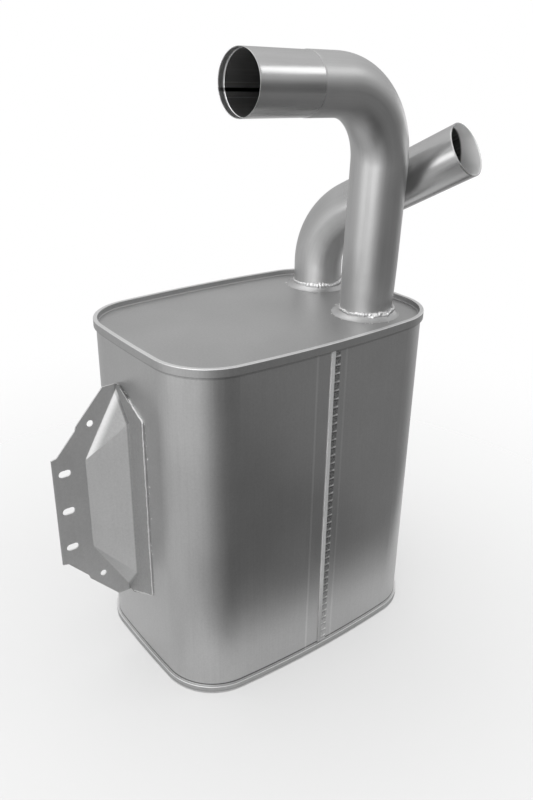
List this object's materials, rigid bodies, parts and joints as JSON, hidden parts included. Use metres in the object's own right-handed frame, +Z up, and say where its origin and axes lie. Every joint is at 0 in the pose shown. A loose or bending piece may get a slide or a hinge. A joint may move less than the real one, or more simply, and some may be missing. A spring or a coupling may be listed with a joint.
{
  "type": "muffler",
  "caption": "Upright box muffler with rolled end seams, exhaust elbows rising from its top plate and a slotted sheet bracket on one side.",
  "frame": {"origin": "middle of the whole object's box, on the plane that the lower rim stands on", "axes": "+Z up, +X along the body's long sides away from the bracket, +Y towards the back, so that the lock seam's face looks to -Y"},
  "size_m": [0.7954, 0.4385, 1.1539],
  "materials": {
    "jacket_sheet": "satin aluminised sheet",
    "end_plate_sheet": "satin aluminised sheet",
    "mineral_mat": "needled mineral fibre",
    "inner_sheet": "plain steel sheet",
    "pipe_metal": "satin aluminised tube",
    "inner_tube_metal": "plain steel tube",
    "mineral_packing": "loose mineral wool",
    "bracket_sheet": "satin aluminised sheet",
    "weld_metal": "bright rippled weld"
  },
  "bodies": {
    "root": {"jacket": "jacket_sheet", "top_end_plate": "end_plate_sheet", "bottom_end_plate": "end_plate_sheet", "insulation_mat": "mineral_mat", "inner_liner": "inner_sheet", "upper_baffle": "inner_sheet", "lower_baffle": "inner_sheet", "large_pipe": "pipe_metal", "small_pipe": "pipe_metal", "inlet_tube": "inner_tube_metal", "outlet_tube": "inner_tube_metal", "transfer_tube_front": "inner_tube_metal", "transfer_tube_back": "inner_tube_metal", "packing": "mineral_packing", "packing_can": "inner_sheet", "packing_cap_upper": "inner_sheet", "packing_cap_lower": "inner_sheet", "bracket": "bracket_sheet", "large_pipe_weld": "weld_metal", "small_pipe_weld": "weld_metal", "bracket_weld": "weld_metal"}
  },
  "joints": []
}
